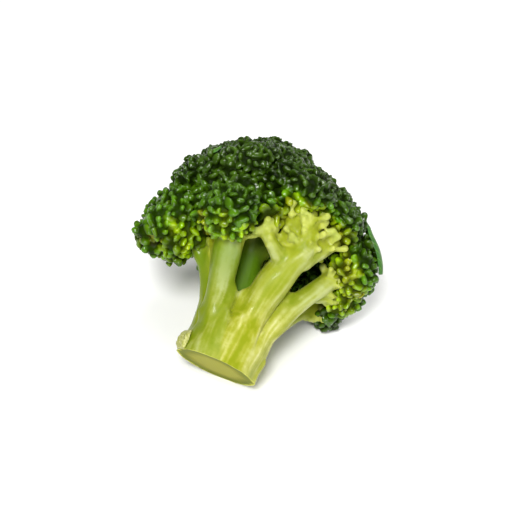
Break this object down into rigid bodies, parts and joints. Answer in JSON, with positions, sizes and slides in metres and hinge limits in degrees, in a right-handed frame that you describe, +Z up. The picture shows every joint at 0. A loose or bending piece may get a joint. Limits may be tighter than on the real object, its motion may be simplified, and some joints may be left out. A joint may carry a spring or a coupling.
{
  "type": "broccoli head",
  "caption": "Fresh broccoli head, cut through its thick stalk and lying on its side, with branching stems under a domed crown of green flower buds.",
  "frame": {"origin": "middle of the footprint, on the surface that the head lies on", "axes": "+Z up from the surface; -Y towards the cut end of the stalk, +Y towards the crown; +X to the right seen from the cut end"},
  "size_m": [0.1258, 0.1254, 0.1038],
  "materials": {
    "stalk_skin": "satin",
    "branch_skin": "satin",
    "floret_buds": "satin",
    "leaf_scar_skin": "matte"
  },
  "bodies": {
    "root": {"branch_back": "branch_skin", "branch_back_left": "branch_skin", "branch_back_right": "branch_skin", "branch_centre": "branch_skin", "branch_core": "branch_skin", "branch_left": "branch_skin", "branch_left_front": "branch_skin", "branch_right": "branch_skin", "branchlet_back_upper_left": "branch_skin", "branchlet_back_upper_right": "branch_skin", "branchlet_front_centre": "branch_skin", "branchlet_front_upper": "branch_skin", "branchlet_left_back": "branch_skin", "branchlet_left_upper": "branch_skin", "branchlet_right_back": "branch_skin", "branchlet_right_low": "branch_skin", "branchlet_right_upper": "branch_skin", "branchlet_top_back": "branch_skin", "branchlet_top_left": "branch_skin", "branchlet_top_right": "branch_skin", "floret_back": "floret_buds", "floret_back_left": "floret_buds", "floret_back_upper_left": "floret_buds", "floret_back_upper_right": "floret_buds", "floret_front_centre": "floret_buds", "floret_front_right": "floret_buds", "floret_front_upper": "floret_buds", "floret_hanging": "floret_buds", "floret_left": "floret_buds", "floret_left_back": "floret_buds", "floret_left_front": "floret_buds", "floret_left_upper": "floret_buds", "floret_right": "floret_buds", "floret_right_back": "floret_buds", "floret_right_low": "floret_buds", "floret_right_upper": "floret_buds", "floret_top": "floret_buds", "floret_top_back": "floret_buds", "floret_top_left": "floret_buds", "floret_top_right": "floret_buds", "leaf_scar_back": "leaf_scar_skin", "leaf_scar_left": "leaf_scar_skin", "stalk": "stalk_skin"}
  },
  "joints": []
}
